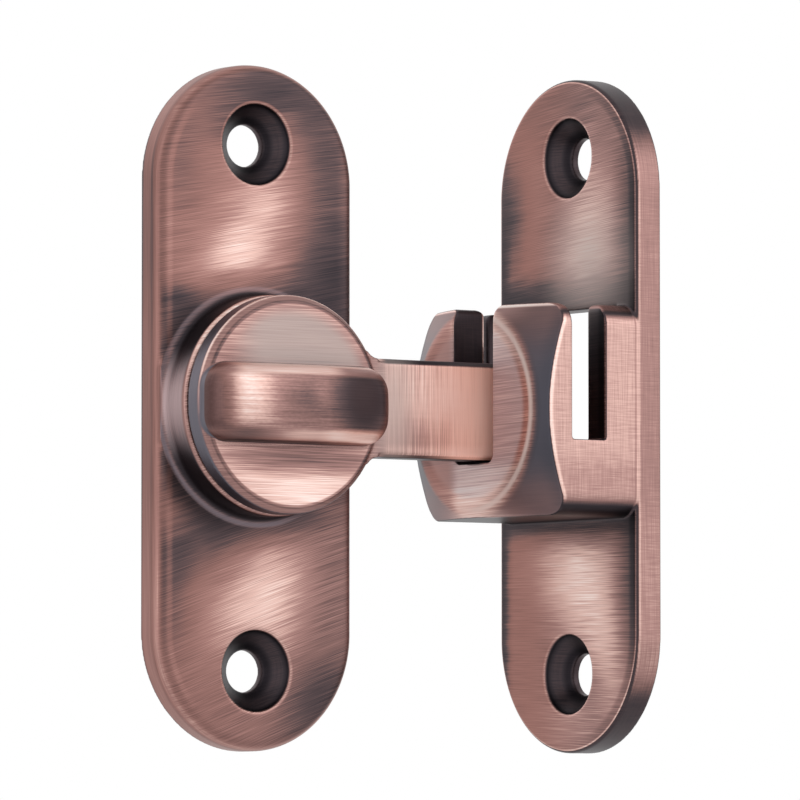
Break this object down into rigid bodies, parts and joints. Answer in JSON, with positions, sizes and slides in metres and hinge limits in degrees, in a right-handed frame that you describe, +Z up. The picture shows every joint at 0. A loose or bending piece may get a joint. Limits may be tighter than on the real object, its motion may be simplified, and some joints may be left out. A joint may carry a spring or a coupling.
{
  "type": "flip gate latch",
  "caption": "Surface-mounted flip latch: a thumb-turn swings a hammer-headed bar into the notch of a catch block on a plate set square to it.",
  "frame": {"origin": "on the pivot axis of the thumb-turn, at the back face of the knob plate, midway between its two screw holes", "axes": "+X along the bar at rest, towards the catch plate; -Y out of the knob plate's front, towards the user; +Z up"},
  "size_m": [0.0654, 0.031, 0.09],
  "materials": {
    "knob_plate": "antique red copper, brushed, dark patina in the recesses",
    "bore_bush": "plain sintered bronze",
    "spring_washer": "spring steel, oiled",
    "catch_plate": "antique red copper, brushed, dark patina in the recesses",
    "flip_bar": "antique red copper, brushed, dark patina in the recesses",
    "spindle": "zinc-plated steel",
    "thrust_washer": "black nylon",
    "keyed_washer": "zinc-plated steel",
    "retaining_screw": "zinc-plated steel"
  },
  "bodies": {
    "mounted": {"knob_plate": "knob_plate", "bore_bush": "bore_bush", "spring_washer": "spring_washer", "catch_plate": "catch_plate"},
    "turning": {"flip_bar": "flip_bar", "spindle": "spindle", "thrust_washer": "thrust_washer", "keyed_washer": "keyed_washer", "retaining_screw": "retaining_screw"}
  },
  "joints": [
    {"name": "flip_hinge", "type": "hinge", "parent": "mounted", "child": "turning", "pos_m": [0, 0, 0], "axis": [0, -1, 0], "range_deg": [0, 320]}
  ]
}
